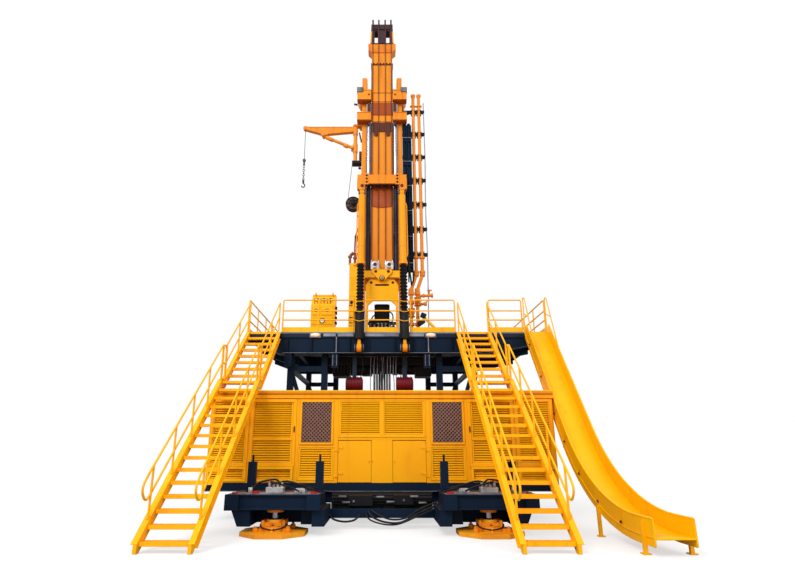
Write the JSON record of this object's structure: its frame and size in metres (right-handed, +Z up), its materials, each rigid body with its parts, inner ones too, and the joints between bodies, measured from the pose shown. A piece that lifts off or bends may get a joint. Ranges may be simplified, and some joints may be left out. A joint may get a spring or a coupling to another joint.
{
  "type": "deep well drilling rig",
  "caption": "Deep well drilling rig with a drill floor on legs over a louvred power house, a box mast with crown, a slewing jib, stairs, an escape slide and jack pads.",
  "frame": {"origin": "centre of the whole rig's footprint box, on the ground", "axes": "+Z up along the mast, -Y to the front with the stairs and doors, +X towards the slide's side"},
  "size_m": [9.115, 11.43, 17.06],
  "materials": {
    "navy_paint": "satin",
    "orange_paint": "satin",
    "yellow_paint": "satin",
    "deck_steel": "matt",
    "dark_paint": "satin",
    "crimson_paint": "satin",
    "black_rubber": "matt",
    "rope_steel": "matt",
    "chrome": "polished"
  },
  "bodies": {
    "rig": {"left_sponson": "navy_paint", "right_sponson": "navy_paint", "tie_beams": "navy_paint", "jack_collars": "orange_paint", "house_chassis": "navy_paint", "front_wall_left": "yellow_paint", "front_wall_right": "yellow_paint", "front_wall_upper": "yellow_paint", "front_centre_panel": "yellow_paint", "back_wall": "yellow_paint", "end_walls": "yellow_paint", "house_roof": "yellow_paint", "left_grilles": "yellow_paint", "right_grilles": "yellow_paint", "centre_louvres": "yellow_paint", "left_legs": "navy_paint", "right_legs": "navy_paint", "cross_girders": "navy_paint", "long_beams": "navy_paint", "wing_brackets": "navy_paint", "drill_floor": "deck_steel", "rotary_table": "orange_paint", "front_railing": "yellow_paint", "side_railings": "yellow_paint", "rear_railing": "yellow_paint", "under_hoists": "crimson_paint", "riser_hoses": "black_rubber", "left_stringers": "yellow_paint", "left_treads": "yellow_paint", "left_handrails": "yellow_paint", "right_stringers": "yellow_paint", "right_treads": "yellow_paint", "right_handrails": "yellow_paint", "slide_bed": "yellow_paint", "slide_walls": "yellow_paint", "slide_supports": "yellow_paint", "mast_foot": "yellow_paint", "equaliser": "orange_paint", "mast_columns": "orange_paint", "mast_beams": "orange_paint", "centre_column": "orange_paint", "crown": "dark_paint", "feed_cylinders": "chrome", "hoist_ropes": "rope_steel", "power_head": "yellow_paint", "raise_cylinders": "yellow_paint", "rod_gaiters": "black_rubber", "side_cabinet": "yellow_paint", "driller_console": "yellow_paint", "standpipes": "orange_paint", "pipe_cluster": "navy_paint", "jib_bracket": "orange_paint"},
    "jib": {"jib": "orange_paint", "hook_line": "rope_steel"},
    "left_door": {"left_door": "yellow_paint"},
    "right_door": {"right_door": "yellow_paint"},
    "front_left_jack": {"front_left_jack": "orange_paint"},
    "front_right_jack": {"front_right_jack": "orange_paint"},
    "rear_left_jack": {"rear_left_jack": "orange_paint"},
    "rear_right_jack": {"rear_right_jack": "orange_paint"}
  },
  "joints": [
    {"name": "jib_slew", "type": "hinge", "parent": "rig", "child": "jib", "pos_m": [-1.3275, 1.835, 11.5], "axis": [0, 0, 1], "range_deg": [-90, 90]},
    {"name": "left_door_hinge", "type": "hinge", "parent": "rig", "child": "left_door", "pos_m": [-1.4395, -1.428, 1.31], "axis": [0, 0, -1], "range_deg": [0, 100]},
    {"name": "right_door_hinge", "type": "hinge", "parent": "rig", "child": "right_door", "pos_m": [0.6445, -1.428, 1.31], "axis": [0, 0, 1], "range_deg": [0, 100]},
    {"name": "front_left_jack_slide", "type": "slide", "parent": "rig", "child": "front_left_jack", "axis": [0, 0, -1], "range_m": [0, 0.25]},
    {"name": "front_right_jack_slide", "type": "slide", "parent": "rig", "child": "front_right_jack", "axis": [0, 0, -1], "range_m": [0, 0.25]},
    {"name": "rear_left_jack_slide", "type": "slide", "parent": "rig", "child": "rear_left_jack", "axis": [0, 0, -1], "range_m": [0, 0.25]},
    {"name": "rear_right_jack_slide", "type": "slide", "parent": "rig", "child": "rear_right_jack", "axis": [0, 0, -1], "range_m": [0, 0.25]}
  ]
}
